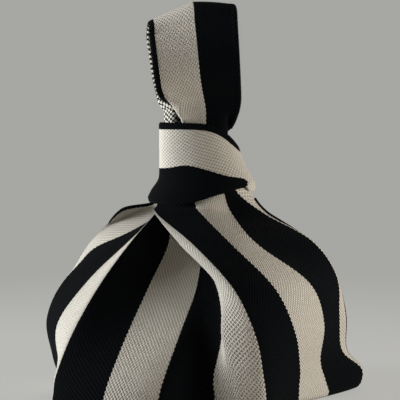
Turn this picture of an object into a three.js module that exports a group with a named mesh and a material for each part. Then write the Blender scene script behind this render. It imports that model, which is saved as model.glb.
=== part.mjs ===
// Knotted knit bag: a striped pouch that stands on its base. Its short handle is wrapped round the
// neck as a collar, and its long handle comes up through that collar as a loop.
// Millimetres, +Z up, front towards -Y, origin under the middle of the base.
import * as THREE from 'three';

// Fabric and sewing
const KNIT = 2.4; // thickness of the knitted fabric
const SEWN_GAP = 0.3; // gap between two pieces that are sewn together
const SLIDE_GAP = 0.5; // room round the long handle where it slides in the short one
const SEAM_WIDTH = 4;
const SEAM_HEIGHT = 1.6; // how far the base seam stands above the base
const HEM_GAP = 0.6; // gap between the base and the foot of the wall round it
const TRIM_WIDTH = 4.5;

// Pouch
const POUCH_WIDTH = 224;
const POUCH_DEPTH = 150;
const POUCH_HEIGHT = 135.3; // floor to the throat under the short handle
const SHOULDER_RISE = 2.4; // how much higher the throat is at its two sides
const NECK_WIDTH = 64; // the neck stands up inside the short handle
const NECK_DEPTH = 39;
const NECK_RISE = 8;
const THROAT_FLARE = 2.2; // how far the throat stands out round the neck
const GATHER_DEPTH = 7; // depth of the gathers that hang down the back

// Short handle, worn as a collar
const COLLAR_SEAT = 0.8; // gap between the throat and the collar that rests on it
const COLLAR_HEIGHT = 58;
const COLLAR_TOP_WIDTH = 51;
const COLLAR_TOP_DEPTH = 32;
const COLLAR_LEAN = 6; // the top of the collar stands this far to the left
const COLLAR_DIP = 16; // the upper edge drops this much at the right
const COLLAR_TUCK = 13; // the lower edge rises this much at the right
const ROOT_SPREAD = 38; // half the angle over which the short handle is rooted, degrees
const LOOSEN_TRAVEL = 8; // the collar can be pushed up this far

// Long handle
const SHANK_DROP = 49; // how far the handle runs down inside the collar
const BEND_CLEARANCE = 5; // from the loosened collar up to the line where the loop bends
const BEND_ROOM = 4.4; // from the handle's face out to the cut where the loop bends
const LOOP_RISE = 70.6; // bend line to the top of the loop
const LOOP_DEPTH = 22;
const LOOP_TOP_WIDTH = 63;
const LOOP_TOP_LEAN = 9.8; // the top of the loop stands this far to the left
const LOOP_LOW_WIDTH = 57;
const LOOP_LOW_LEAN = 2.2;
const LOOP_SLANT = 13; // the top edge of the loop is this much lower at the left
const OPENING_RUN = 26; // height over which a leg flattens out above the loosened collar

// The pouch is drawn through its stripe edges, called rails, at these levels. A level has its height
// as a share of the pouch, and how far it swells from the neck's size to the pouch's.
const LEVELS = [
  { height: 0, swell: 0.97, gather: 0 },
  { height: 0.105, swell: 1, gather: 0 },
  { height: 0.21, swell: 0.98, gather: 0.1 },
  { height: 0.41, swell: 0.95, gather: 0.4 },
  { height: 0.63, swell: 0.81, gather: 0.8 },
  { height: 0.83, swell: 0.55, gather: 1 },
  { height: 0.97, swell: 0.25, gather: 0.6 },
];
const THROAT_LEVEL = LEVELS.length;
const NECK_LEVEL = THROAT_LEVEL + 1;
const SHOULDER_LEVEL = THROAT_LEVEL - 2;

// Each rail has the number of its stripe, how softly the fabric turns there, and its place at each
// level and at the throat: percent of the level's half width to the right and half depth to the back.
const RAILS = [
  [-2, 1, [[-78, 68], [-79, 68], [-82, 68], [-87, 62], [-93, 56], [-101, 28], [-119, 18], [-99, 12]]],
  [-1, 1, [[-94, 22], [-94, 23], [-99, 22], [-104, 17], [-100, 11], [-79, -12], [-62, -12], [-99, -14]]],
  [0, 0.6, [[-92, -25], [-89, -25], [-91, -27], [-94, -25], [-83, -22], [-69, -31], [-62, -24], [-97, -22]]],
  [1, 0.35, [[-94, -68], [-90, -71], [-89, -73], [-81, -69], [-73, -65], [-67, -64], [-66, -42], [-95, -30]]],
  [2, 1, [[-63, -90], [-59, -93], [-56, -92], [-47, -72], [-38, -53], [-32, -40], [-50, -17], [-94, -33]]],
  [3, 1, [[-29, -97], [-27, -100], [-24, -97], [-16, -78], [-6, -53], [-10, -34], [-44, -13], [-93, -36]]],
  [4, 1, [[6, -98], [6, -100], [7, -99], [12, -82], [8, -62], [-14, -46], [-53, -22], [-92, -39]]],
  [4.5, 0.5, [[22, -90], [21, -92], [18, -96], [10, -97], [9, -88], [-22, -72], [-64, -43], [-91, -41]]],
  [5, 1, [[36, -74], [36, -77], [35, -81], [31, -89], [20, -90], [-9, -80], [-62, -49], [-90, -44]]],
  [6, 1, [[59, -38], [58, -40], [59, -46], [56, -64], [48, -81], [25, -84], [-2, -66], [-18, -98]]],
  [7, 1, [[82, 0], [76, 0], [74, -5], [77, -19], [74, -43], [47, -68], [37, -66], [40, -92]]],
  [8, 1, [[102, 41], [101, 43], [91, 38], [90, 25], [96, 9], [97, -24], [81, -30], [88, -48]]],
];
const BACK_FULLNESS = [1, 1, 1, 1, 1, 0.95, 0.75, 0.86, 0.86]; // how far the back reaches at each level
const STRIPES = 16; // round the whole pouch
const FIRST_STRIPE = RAILS[0][0];
const LAST_STRIPE = RAILS.at(-1)[0];
const BACK_RAILS = STRIPES - 1 - (LAST_STRIPE - FIRST_STRIPE); // plain rails, one for each stripe edge behind
const LEFT_SEAM = FIRST_STRIPE; // stripe numbers where the front panel meets the back one
const RIGHT_SEAM = LAST_STRIPE + 0.2;

// The collar from its lower edge up: how much of the flare at its foot is left on each side.
const COLLAR_FLARE = [
  { up: 0, left: 1, right: 1, depth: 1 },
  { up: 0.1, left: 1.35, right: 1, depth: 1 },
  { up: 0.19, left: 1, right: 0.97, depth: 0.9 },
  { up: 0.33, left: 0.1, right: 0.85, depth: 0.55 },
  { up: 0.48, left: 0, right: 0.55, depth: 0.3 },
  { up: 0.72, left: 0, right: 0.26, depth: 0.1 },
  { up: 1, left: 0, right: 0, depth: 0 },
];

const CREAM = { color: 0xd8d2c2, roughness: 0.9, metalness: 0 };
const BLACK = { color: 0x0b0c0f, roughness: 0.85, metalness: 0 };

const mix = (from, to, share) => from + (to - from) * share;
const smooth = (share) => THREE.MathUtils.smoothstep(share, 0, 1);
const steps = (from, to, count) => Array.from({ length: count + 1 }, (_, i) => mix(from, to, i / count));

// A curve through numbers at uneven stations; a softness under 1 turns more sharply at its station.
function spline(stations, values, at, softness = []) {
  const last = stations.length - 1;
  let i = 0;
  while (i < last - 1 && at > stations[i + 1]) i += 1;
  const span = stations[i + 1] - stations[i];
  const t = (at - stations[i]) / span;
  const slope = (k) => {
    const before = Math.max(k - 1, 0);
    const after = Math.min(k + 1, last);
    const rise = (values[after] - values[before]) / (stations[after] - stations[before]);
    return rise * span * (softness[k] ?? 1);
  };
  const blend = t * t * (3 - 2 * t);
  return mix(values[i], values[i + 1], blend)
    + slope(i) * t * (1 - t) * (1 - t) - slope(i + 1) * t * t * (1 - t);
}

// Half width, half depth and height of the pouch's section at a level
function levelSize(level) {
  if (level === THROAT_LEVEL) {
    return [NECK_WIDTH / 2 + THROAT_FLARE, NECK_DEPTH / 2 + THROAT_FLARE, POUCH_HEIGHT];
  }
  if (level === NECK_LEVEL) return [NECK_WIDTH / 2, NECK_DEPTH / 2, POUCH_HEIGHT + NECK_RISE];
  const { height, swell } = LEVELS[level];
  const width = mix(NECK_WIDTH, POUCH_WIDTH, swell);
  const depth = mix(NECK_DEPTH, POUCH_DEPTH, swell);
  return [width / 2, depth / 2, height * POUCH_HEIGHT];
}

// Even places round the back of a level, from one rail to the other, with hanging gathers
function backPlaces(from, to, level) {
  const [halfWidth, halfDepth] = levelSize(level);
  const bulge = halfDepth * BACK_FULLNESS[level] - (from.y + to.y) / 2;
  const arc = steps(0, 1, 48).map((share) => {
    const x = mix(to.x, from.x, (1 + Math.cos(Math.PI * share)) / 2);
    const y = mix(from.y, to.y, share) + bulge * Math.sin(Math.PI * share) ** 0.8;
    return new THREE.Vector2(x, y);
  });
  const run = arc.map(() => 0);
  for (let i = 1; i < arc.length; i += 1) run[i] = run[i - 1] + arc[i].distanceTo(arc[i - 1]);
  const depth = GATHER_DEPTH * (LEVELS[level]?.gather ?? 0);
  return steps(0, 1, BACK_RAILS + 1).slice(1, -1).map((share, k) => {
    const length = share * run[run.length - 1];
    const place = new THREE.Vector2(
      spline(run, arc.map((p) => p.x), length),
      spline(run, arc.map((p) => p.y), length),
    );
    const outward = new THREE.Vector2(place.x / halfWidth, place.y / halfDepth).normalize();
    return place.addScaledVector(outward, (k % 2 ? 1 : -1) * depth / 2);
  });
}

// Every rail of the pouch as a row of points, one at each level
function pouchRails() {
  const rails = RAILS.map(([stripe, softness]) => ({ stripe, softness, points: [] }));
  for (let k = 0; k < BACK_RAILS; k += 1) {
    rails.push({ stripe: LAST_STRIPE + k + 1, softness: 1, points: [] });
  }
  for (let level = 0; level <= NECK_LEVEL; level += 1) {
    const [halfWidth, halfDepth, height] = levelSize(level);
    const places = RAILS.map(([, , at]) => {
      const [across, back] = at[Math.min(level, THROAT_LEVEL)];
      return new THREE.Vector2(across / 100 * halfWidth, back / 100 * halfDepth);
    });
    places.push(...backPlaces(places.at(-1), places[0], level));
    places.forEach((place, k) => {
      const side = (place.x / halfWidth) ** 2;
      const rise = level >= THROAT_LEVEL ? SHOULDER_RISE * side : 0;
      rails[k].points.push(new THREE.Vector3(place.x, place.y, height + rise));
    });
  }
  return rails;
}

const rails = pouchRails();
const levelStations = [...LEVELS.map((_, k) => k), THROAT_LEVEL, NECK_LEVEL];
const aroundRails = [-1, 0, 1].flatMap((turn) => rails.map((rail) => (
  { ...rail, stripe: rail.stripe + turn * STRIPES })));

// A point of the pouch's outer face, by stripe number round it and by level up it
function pouchPoint(stripe, level) {
  const near = aroundRails.filter((rail) => Math.abs(rail.stripe - stripe) < 3.6);
  const stations = near.map((rail) => rail.stripe);
  const softness = near.map((rail) => rail.softness);
  const axis = (name) => {
    const values = near.map((rail) => spline(levelStations, rail.points.map((p) => p[name]), level));
    return spline(stations, values, stripe, softness);
  };
  return new THREE.Vector3(axis('x'), axis('y'), axis('z'));
}

// The pouch's fabric: depth 0 is its outer face, depth 1 its inner one. The lowest rows go straight in.
function pouchFabric(stripe, level, depth) {
  const reach = 0.02;
  const round = pouchPoint(stripe + reach, level).sub(pouchPoint(stripe - reach, level));
  const low = Math.max(level - reach, 0);
  const high = Math.min(level + reach, NECK_LEVEL);
  const up = pouchPoint(stripe, high).sub(pouchPoint(stripe, low));
  const normal = round.cross(up);
  normal.z *= smooth(level);
  normal.normalize();
  return pouchPoint(stripe, level).addScaledVector(normal, -KNIT * depth);
}

// The stripe number that lies so many millimetres further round the pouch
function furtherRound(stripe, level, distance) {
  const reach = 0.02;
  const run = pouchPoint(stripe + reach, level).distanceTo(pouchPoint(stripe - reach, level));
  return stripe + distance * 2 * reach / run;
}

// A closed slab between two faces: point(u, v, depth) gives its outer face at depth 0, its inner at 1
function slab(point, us, vs, ring = false) {
  const columns = ring ? us.length - 1 : us.length;
  const rows = vs.length;
  const positions = [];
  for (const depth of [0, 1]) {
    for (let j = 0; j < rows; j += 1) {
      for (let i = 0; i < columns; i += 1) positions.push(...point(us[i], vs[j], depth).toArray());
    }
  }
  const at = (i, j, depth) => (depth * rows + j) * columns + (i % columns);
  const index = [];
  const quad = (a, b, c, d) => index.push(a, b, c, a, c, d);
  for (let i = 0; i < us.length - 1; i += 1) {
    for (let j = 0; j < rows - 1; j += 1) {
      quad(at(i, j, 0), at(i + 1, j, 0), at(i + 1, j + 1, 0), at(i, j + 1, 0));
      quad(at(i, j, 1), at(i, j + 1, 1), at(i + 1, j + 1, 1), at(i + 1, j, 1));
    }
    quad(at(i, 0, 0), at(i, 0, 1), at(i + 1, 0, 1), at(i + 1, 0, 0));
    quad(at(i, rows - 1, 0), at(i + 1, rows - 1, 0), at(i + 1, rows - 1, 1), at(i, rows - 1, 1));
  }
  const right = us.length - 1;
  for (let j = 0; j < rows - 1 && !ring; j += 1) {
    quad(at(0, j, 0), at(0, j + 1, 0), at(0, j + 1, 1), at(0, j, 1));
    quad(at(right, j, 0), at(right, j, 1), at(right, j + 1, 1), at(right, j + 1, 0));
  }
  const geometry = new THREE.BufferGeometry();
  geometry.setAttribute('position', new THREE.Float32BufferAttribute(positions, 3));
  geometry.setIndex(index);
  geometry.computeVertexNormals();
  return geometry;
}

const bag = new THREE.Group();
function piece(name, geometry, look) {
  const mesh = new THREE.Mesh(geometry, new THREE.MeshStandardMaterial(look));
  mesh.name = name;
  bag.add(mesh);
}

// Pouch panels, with the seams and the armhole trims that close the gaps between them
const POUCH_ROWS = [0, 0.5, 1, 1.5, 2, 2.5, 3, 3.5, 4, 4.5, 5, 5.5, 6, 6.3, 6.6, 7, 7.5, 8];
const seamEdge = SEAM_WIDTH / 2 + SEWN_GAP;

const FRONT_COLUMNS = 34;
const BACK_COLUMNS = 18;

// The stripe number at a share of the way across a panel, between its two seams
function panelStripe(from, to, level, share) {
  const start = furtherRound(from, level, seamEdge);
  const end = furtherRound(to, level, -seamEdge);
  return mix(start, end, share);
}

function pouchPanel(from, to, columns) {
  const point = (share, level, depth) => pouchFabric(panelStripe(from, to, level, share), level, depth);
  return slab(point, steps(0, 1, columns), POUCH_ROWS);
}

function pouchSeam(stripe, rows) {
  return slab((u, level, depth) => {
    const across = mix(-SEAM_WIDTH / 2, SEAM_WIDTH / 2, u);
    return pouchFabric(furtherRound(stripe, level, across), level, depth);
  }, [0, 0.5, 1], rows);
}

const seamRows = POUCH_ROWS.filter((level) => level < SHOULDER_LEVEL);
const trimRows = POUCH_ROWS.filter((level) => level >= SHOULDER_LEVEL);
const levelRise = POUCH_HEIGHT * (LEVELS[SHOULDER_LEVEL].height - LEVELS[SHOULDER_LEVEL - 1].height);
const seamTop = SHOULDER_LEVEL - SEWN_GAP / levelRise;

piece('front_panel', pouchPanel(LEFT_SEAM, RIGHT_SEAM, FRONT_COLUMNS), CREAM);
piece('back_panel', pouchPanel(RIGHT_SEAM, LEFT_SEAM + STRIPES, BACK_COLUMNS), CREAM);
piece('left_side_seam', pouchSeam(LEFT_SEAM, [...seamRows, seamTop]), BLACK);
piece('right_side_seam', pouchSeam(RIGHT_SEAM, [...seamRows, seamTop]), BLACK);
piece('left_armhole_trim', pouchSeam(LEFT_SEAM, trimRows), BLACK);
piece('right_armhole_trim', pouchSeam(RIGHT_SEAM, trimRows), BLACK);

// Base panel and the seam that lies on its rim, both inside the foot of the pouch's wall
function baseOutline(inset) {
  const kneeLevel = KNIT / (POUCH_HEIGHT * LEVELS[1].height);
  const front = steps(0, 1, FRONT_COLUMNS).map((share) => [LEFT_SEAM, RIGHT_SEAM, share]);
  const back = steps(0, 1, BACK_COLUMNS).map((share) => [RIGHT_SEAM, LEFT_SEAM + STRIPES, share]);
  return [...front, ...back].map(([from, to, share]) => {
    const places = [0, kneeLevel].map((level) => {
      const stripe = panelStripe(from, to, level, share);
      const face = pouchFabric(stripe, level, 0);
      const inner = pouchFabric(stripe, level, 1);
      const inward = inner.clone().sub(face).setZ(0).normalize();
      return inner.addScaledVector(inward, inset);
    });
    const nearest = places[0].length() < places[1].length() ? places[0] : places[1];
    return new THREE.Vector2(nearest.x, nearest.y);
  });
}

function basePanel() {
  const shape = new THREE.Shape(baseOutline(HEM_GAP));
  return new THREE.ExtrudeGeometry(shape, { depth: KNIT, bevelEnabled: false });
}

function baseSeam() {
  const shape = new THREE.Shape(baseOutline(HEM_GAP + SEWN_GAP));
  shape.holes.push(new THREE.Path(baseOutline(HEM_GAP + SEWN_GAP + SEAM_WIDTH)));
  const ring = new THREE.ExtrudeGeometry(shape, { depth: SEAM_HEIGHT, bevelEnabled: false });
  return ring.translate(0, 0, KNIT + SEWN_GAP);
}

piece('base_panel', basePanel(), CREAM);
piece('base_seam', baseSeam(), BLACK);

// Collar: the short handle wrapped round the neck
const COLLAR_FOOT = POUCH_HEIGHT + COLLAR_SEAT;
const COLLAR_TOP = COLLAR_FOOT + COLLAR_HEIGHT;
const footWidth = NECK_WIDTH / 2 + THROAT_FLARE + COLLAR_SEAT + KNIT;
const footDepth = NECK_DEPTH / 2 + THROAT_FLARE + COLLAR_SEAT + KNIT;
const topLeft = COLLAR_TOP_WIDTH / 2 + COLLAR_LEAN;
const topRight = COLLAR_TOP_WIDTH / 2 - COLLAR_LEAN;
const topDepth = COLLAR_TOP_DEPTH / 2;

function collarPoint(angle, height, inset) {
  const up = (height - COLLAR_FOOT) / COLLAR_HEIGHT;
  const stations = COLLAR_FLARE.map((row) => row.up);
  const flare = (side) => spline(stations, COLLAR_FLARE.map((row) => row[side]), up);
  const left = mix(topLeft, footWidth, flare('left'));
  const right = mix(topRight, footWidth, flare('right'));
  const halfDepth = mix(topDepth, footDepth, flare('depth'));
  const halfWidth = (left + right) / 2;
  const x = (right - left) / 2 + (halfWidth - inset) * Math.cos(angle);
  const y = (halfDepth - inset) * Math.sin(angle);
  return new THREE.Vector3(x, y, height);
}

const towardsRight = (angle) => (1 + Math.cos(angle)) / 2;
const upperEdge = (angle) => COLLAR_TOP - COLLAR_DIP * towardsRight(angle) ** 6;
const lowerEdge = (angle) => COLLAR_FOOT + COLLAR_TUCK * towardsRight(angle) ** 2
  + SHOULDER_RISE * (1 - towardsRight(angle)) ** 2;

// A stretch of the collar between two angles, from one height to another at each angle
function collarPiece(fromAngle, toAngle, low, high, columns, rows, ring = false) {
  return slab((angle, share, depth) => {
    const height = mix(low(angle), high(angle), share);
    return collarPoint(angle, height, KNIT * depth);
  }, steps(fromAngle, toAngle, columns), steps(0, 1, rows), ring);
}

const trimLow = (angle) => lowerEdge(angle) + TRIM_WIDTH;
const trimHigh = (angle) => upperEdge(angle) - TRIM_WIDTH;
const bandLow = (angle) => trimLow(angle) + SEWN_GAP;
const bandHigh = (angle) => trimHigh(angle) - SEWN_GAP;
const seamAngle = SEAM_WIDTH / 2 / topDepth;
const bandAngle = (SEAM_WIDTH / 2 + SEWN_GAP) / topDepth;
const rootLow = () => COLLAR_FOOT + SHOULDER_RISE;
const rootHigh = (angle) => lowerEdge(angle) - SEWN_GAP;
const rootAngle = THREE.MathUtils.degToRad(ROOT_SPREAD);
const rootSplit = SEWN_GAP / footDepth;
const half = Math.PI;
const turn = 2 * Math.PI;

piece('short_handle_front_band', collarPiece(half + bandAngle, turn, bandLow, bandHigh, 18, 7), CREAM);
piece('short_handle_back_band',
  collarPiece(rootSplit, half - bandAngle, bandLow, bandHigh, 18, 7), CREAM);
piece('short_handle_seam', collarPiece(half - seamAngle, half + seamAngle, bandLow, bandHigh, 2, 7), BLACK);
piece('short_handle_upper_trim', collarPiece(0, turn, trimHigh, upperEdge, 40, 1, true), BLACK);
piece('short_handle_lower_trim', collarPiece(0, turn, lowerEdge, trimLow, 40, 2, true), BLACK);
piece('short_handle_front_root', collarPiece(-rootAngle, -rootSplit, rootLow, rootHigh, 5, 2), CREAM);
piece('short_handle_back_root', collarPiece(rootSplit, rootAngle, rootLow, rootHigh, 5, 2), CREAM);

// Long handle: a flattened tube inside the collar that opens into two flat legs and a loop
const BEND_LINE = COLLAR_TOP + LOOSEN_TRAVEL + BEND_CLEARANCE;
const LOOP_FOOT = COLLAR_TOP + LOOSEN_TRAVEL;
const LEG_SPREAD = THREE.MathUtils.degToRad(80); // half the angle that one leg takes of the tube
const shankWidth = COLLAR_TOP_WIDTH / 2 - KNIT - SLIDE_GAP;
const shankDepth = topDepth - KNIT - SLIDE_GAP;
const bendRadius = shankDepth + BEND_ROOM;

// A point of the front leg: u runs from -1 at its left edge to 1 at its right edge. The leg starts to
// flatten out just above the loosened collar's upper edge.
function legPoint(u, height, depth) {
  const inset = KNIT * depth;
  const angle = u * LEG_SPREAD;
  const openingStart = upperEdge(angle - half / 2) + LOOSEN_TRAVEL + SLIDE_GAP;
  const tubeX = -COLLAR_LEAN + (shankWidth - inset) * Math.sin(angle);
  const tubeY = -(shankDepth - inset) * Math.cos(angle);
  const up = (height - LOOP_FOOT) / (BEND_LINE + LOOP_RISE - LOOP_FOOT);
  const lean = mix(LOOP_LOW_LEAN, LOOP_TOP_LEAN, up);
  const width = mix(LOOP_LOW_WIDTH, LOOP_TOP_WIDTH, up);
  const flatX = -lean + width / 2 * u;
  const flatY = -(LOOP_DEPTH / 2 - inset);
  const open = smooth((height - openingStart) / OPENING_RUN);
  return new THREE.Vector3(mix(tubeX, flatX, open), mix(tubeY, flatY, open), height);
}

// The height at which a leg crosses a cylinder round the bend line
function bendHeight(u, depth, radius) {
  let height = BEND_LINE + radius;
  for (let i = 0; i < 12; i += 1) {
    const { y } = legPoint(u, height, depth);
    height = BEND_LINE + Math.sqrt(radius * radius - y * y);
  }
  return height;
}

const backOf = (point) => new THREE.Vector3(point.x, -point.y, point.z);
const SHANK_FOOT = COLLAR_TOP - SHANK_DROP;
const shankRows = [0, 0.35, 0.7, 0.78, 0.86, 0.93, 1];

function shank(side) {
  return slab((u, share, depth) => {
    const height = mix(SHANK_FOOT, bendHeight(u, depth, bendRadius - SEWN_GAP), share);
    return side(legPoint(u, height, depth));
  }, side === backOf ? steps(1, -1, 12) : steps(-1, 1, 12), shankRows);
}

piece('long_handle_front_shank', shank((point) => point), CREAM);
piece('long_handle_back_shank', shank(backOf), CREAM);

// The loop, run from 0 at the front leg's foot over the top to 1 at the back leg's foot
const LEG_SHARE = 0.4;
const ARCH_SHARE = 1 - 2 * LEG_SHARE;
const crestHeight = (u) => BEND_LINE + LOOP_RISE - LOOP_SLANT * Math.max(-u, 0) ** 1.2;

function loopPoint(u, run, depth) {
  const radius = LOOP_DEPTH / 2;
  const spring = crestHeight(u) - radius;
  const foot = bendHeight(u, depth, bendRadius);
  if (run <= LEG_SHARE) return legPoint(u, mix(foot, spring, run / LEG_SHARE), depth);
  if (run >= 1 - LEG_SHARE) {
    return backOf(legPoint(u, mix(foot, spring, (1 - run) / LEG_SHARE), depth));
  }
  const angle = Math.PI * (run - LEG_SHARE) / ARCH_SHARE;
  const point = legPoint(u, spring, depth);
  const arch = radius - KNIT * depth;
  return new THREE.Vector3(point.x, -arch * Math.cos(angle), spring + arch * Math.sin(angle));
}

const archRun = (distance) => distance * ARCH_SHARE / (Math.PI * LOOP_DEPTH / 2);
const topSeam = 1 - LEG_SHARE - archRun(SEAM_WIDTH);
const seamHalf = archRun(SEAM_WIDTH / 2);
const strapEnd = archRun(SEAM_WIDTH / 2 + SEWN_GAP);
const trimEdge = 1 - TRIM_WIDTH / (LOOP_TOP_WIDTH / 2);
const strapEdge = trimEdge - SEWN_GAP / (LOOP_LOW_WIDTH / 2);
const legRuns = steps(0, LEG_SHARE, 7);
const archRuns = steps(LEG_SHARE, 1 - LEG_SHARE, 8).slice(1);
const backRuns = steps(1 - LEG_SHARE, 1, 7);
const strapColumns = steps(-strapEdge, strapEdge, 10);
const beforeSeam = [...legRuns, ...archRuns].filter((run) => run < topSeam - strapEnd);

piece('long_handle_front_strap', slab(loopPoint, strapColumns, [...beforeSeam, topSeam - strapEnd]), CREAM);
piece('long_handle_top_seam',
  slab(loopPoint, strapColumns, steps(topSeam - seamHalf, topSeam + seamHalf, 2)), BLACK);
piece('long_handle_back_strap', slab(loopPoint, strapColumns, [topSeam + strapEnd, ...backRuns]), CREAM);
const wholeRun = [...legRuns, ...archRuns, ...backRuns.slice(1)];
piece('long_handle_left_trim', slab(loopPoint, steps(-1, -trimEdge, 2), wholeRun), BLACK);
piece('long_handle_right_trim', slab(loopPoint, steps(trimEdge, 1, 2), wholeRun), BLACK);

export default bag;
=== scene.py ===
import math

import bmesh
import bpy
import numpy as np
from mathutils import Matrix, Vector


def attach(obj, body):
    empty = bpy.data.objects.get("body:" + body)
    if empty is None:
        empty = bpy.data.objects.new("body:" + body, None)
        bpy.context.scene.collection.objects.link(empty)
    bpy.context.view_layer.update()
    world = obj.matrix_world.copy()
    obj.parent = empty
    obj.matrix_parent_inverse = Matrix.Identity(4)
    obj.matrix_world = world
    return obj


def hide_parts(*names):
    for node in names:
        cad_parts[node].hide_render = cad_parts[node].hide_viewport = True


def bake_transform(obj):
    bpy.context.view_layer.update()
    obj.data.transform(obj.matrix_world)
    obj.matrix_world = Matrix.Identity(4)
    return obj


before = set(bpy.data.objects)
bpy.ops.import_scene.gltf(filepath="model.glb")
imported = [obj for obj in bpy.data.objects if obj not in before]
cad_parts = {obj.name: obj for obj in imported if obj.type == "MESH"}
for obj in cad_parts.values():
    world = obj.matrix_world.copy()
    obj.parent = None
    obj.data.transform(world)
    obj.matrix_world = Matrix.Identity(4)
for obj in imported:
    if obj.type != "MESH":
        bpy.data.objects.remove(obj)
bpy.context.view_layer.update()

# Lengths in this script are millimetres, and they become metres where a mesh is made.
MM = 0.001

# Knit
KNIT = 2.2  # thickness of the fabric
WALE = 1.2  # width of one column of stitches
COURSE = 1.6  # height of one row of stitches
WALES = 32  # columns of stitches across one stripe of the pouch
STRIPE = 30  # width of a stripe that isn't stretched
TRIM_WIDTH = 4.6
TRIM_HEIGHT = 2.7
SHOULDER_TRIM_WIDTH = 3.2
SEAM_WIDTH = 2.6
SEAM_HEIGHT = 2.2

# Pouch, with the main sizes of the part's source
POUCH_WIDTH = 224
POUCH_DEPTH = 150
POUCH_HEIGHT = 135.3
SHOULDER_RISE = 2.4  # how much higher the throat is at its left
NECK_WIDTH = 64
NECK_DEPTH = 39
NECK_TOP_WIDTH = 56
NECK_TOP_DEPTH = 34
NECK_RISE = 17  # taller than the solid, so that no hole shows when the collar moves up
THROAT_FLARE = 2.2  # how far the throat stands out round the neck
GATHER_DEPTH = 7  # depth of the gathers that hang down the back
BACK_SQUARE = 0.8  # under 1, the back is squarer than an ellipse
BACK_POINTS = 49
HEM_ROUND = 6  # the fabric turns under at the floor with this radius
STRIPES = 16  # round the whole pouch

# Height as a share of the pouch, swell from the neck's size to the pouch's, gathers, fullness of the back
LEVELS = [
    (0, 0.97, 0, 1),
    (0.105, 1, 0, 1),
    (0.21, 0.98, 0.1, 1),
    (0.41, 0.95, 0.4, 1),
    (0.63, 0.81, 0.8, 1),
    (0.83, 0.55, 1, 0.95),
    (0.97, 0.25, 0.6, 0.75),
]
THROAT_LEVEL = len(LEVELS)
NECK_LEVEL = THROAT_LEVEL + 1
SHOULDER_LEVEL = THROAT_LEVEL - 2
THROAT_FULLNESS = 0.86  # fullness of the back from the throat up

# Stripe number, softness of the turn there, and percent of half width and half depth at each level
RAILS = [
    (-2, 1, [(-78, 68), (-79, 68), (-82, 68), (-87, 62), (-93, 56), (-100, 38), (-113, 18), (-99, 12)]),
    (-1.5, 1, [(-88, 45), (-89, 45), (-93, 44), (-98, 38), (-99, 31), (-101, 22), (-90, 30), (-99, -3)]),
    (-1, 0.7, [(-94, 22), (-94, 23), (-99, 22), (-104, 17), (-100, 11), (-79, -12), (-58, 14), (-97, -10)]),
    (0, 0.6, [(-92, -25), (-89, -25), (-91, -27), (-94, -25),
              (-83, -22), (-69, -31), (-62, -21), (-88, -13)]),
    (1, 0.35, [(-94, -68), (-90, -71), (-89, -73), (-81, -69),
               (-73, -65), (-67, -64), (-66, -42), (-86, -16)]),
    (2, 1, [(-63, -90), (-59, -93), (-56, -92), (-47, -72),
            (-38, -53), (-32, -40), (-50, -17), (-80, -14)]),
    (3, 1, [(-29, -97), (-27, -100), (-24, -97), (-15, -78), (-5, -53), (-5, -34), (-44, -13), (-78, -14)]),
    (3.6, 1, [(-8, -85), (-8, -86), (-6, -83), (0, -75), (2, -57), (-12, -41), (-49, -18), (-79, -15)]),
    (4, 1, [(6, -88), (6, -89), (5.5, -87), (10.5, -80), (8, -62), (-14, -46), (-53, -22), (-80, -16)]),
    (4.5, 0.7, [(20, -92), (19, -93), (17, -94), (11, -91), (10, -83), (-22, -68), (-64, -43), (-88, -20)]),
    (5, 0.7, [(36, -88), (36, -91), (35, -95), (31, -97), (20, -95), (-9, -84), (-62, -49), (-96, -25)]),
    (6, 1, [(59, -38), (58, -40), (59, -46), (56, -64), (48, -81), (25, -84), (-2, -74), (-18, -98)]),
    (7, 1, [(82, 0), (76, 0), (74, -5), (77, -19), (74, -43), (47, -62), (37, -50), (40, -92)]),
    (8, 1, [(104, 40), (103, 42), (91, 38), (90, 25), (97, 9), (98.5, -22), (80, -30), (62, -78)]),
    (8.2, 0.8, [(103, 48), (103, 50), (94.5, 47), (95, 34),
                (96.5, 19), (96.5, -9), (83.5, -16), (90, -28)]),
]
LEFT_SEAM = RAILS[0][0]  # stripe numbers where the front panel meets the back one
RIGHT_SEAM = RAILS[-1][0]
LAST_STRIPE = RAILS[-2][0]
BACK_RAILS = STRIPES - 1 - (LAST_STRIPE - LEFT_SEAM)  # one for each stripe edge behind

# Short handle, worn as a collar
COLLAR_SEAT = 0.8  # gap between the throat and the collar that rests on it
COLLAR_FOOT = POUCH_HEIGHT + COLLAR_SEAT
COLLAR_HEIGHT = 58
COLLAR_TOP = COLLAR_FOOT + COLLAR_HEIGHT
COLLAR_TOP_WIDTH = 51
COLLAR_TOP_DEPTH = 32
COLLAR_LEAN = 6  # the top of the collar stands this far to the left
COLLAR_DIP = 16  # the upper edge drops this much at the right
DIP_POWER = 6  # the higher, the narrower the dip
COLLAR_TUCK = 14  # the lower edge rises this much at the right
RISE_START = 0.2  # share towards the right where the lower edge starts to rise
RISE_RUN = 0.76
COLLAR_TRIM_WIDTH = 5.4  # of the upper trim
COLLAR_OPENED = 0.1  # the knit is stretched open in front, and lies closer at the sides
COLLAR_CLOSED = 0.36
TIP_START = 0.87  # share towards the right where the collar's lower edge starts to turn down
TIP_END = 0.97
TIP_DROP = 5
BLACK_STRIPE = 1.5  # a stripe is cream where its number has an even whole part, and black otherwise
CREAM_STRIPE = 2.5
COLLAR_STRIPES = (1.02, 2.95)  # the collar's stripe numbers stay between these
ROOT_SPREAD = math.radians(58)  # half the angle over which the short handle is rooted
ROOT_DROP = 7  # the root reaches this far under and over the collar's lower edge
ROOT_GAP = 0.25  # from the collar's inner face
ROOT_LEAN = 0.8  # the root's foot stands this much further in
LOOSEN_TRAVEL = 8  # the collar can be pushed up this far
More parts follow.
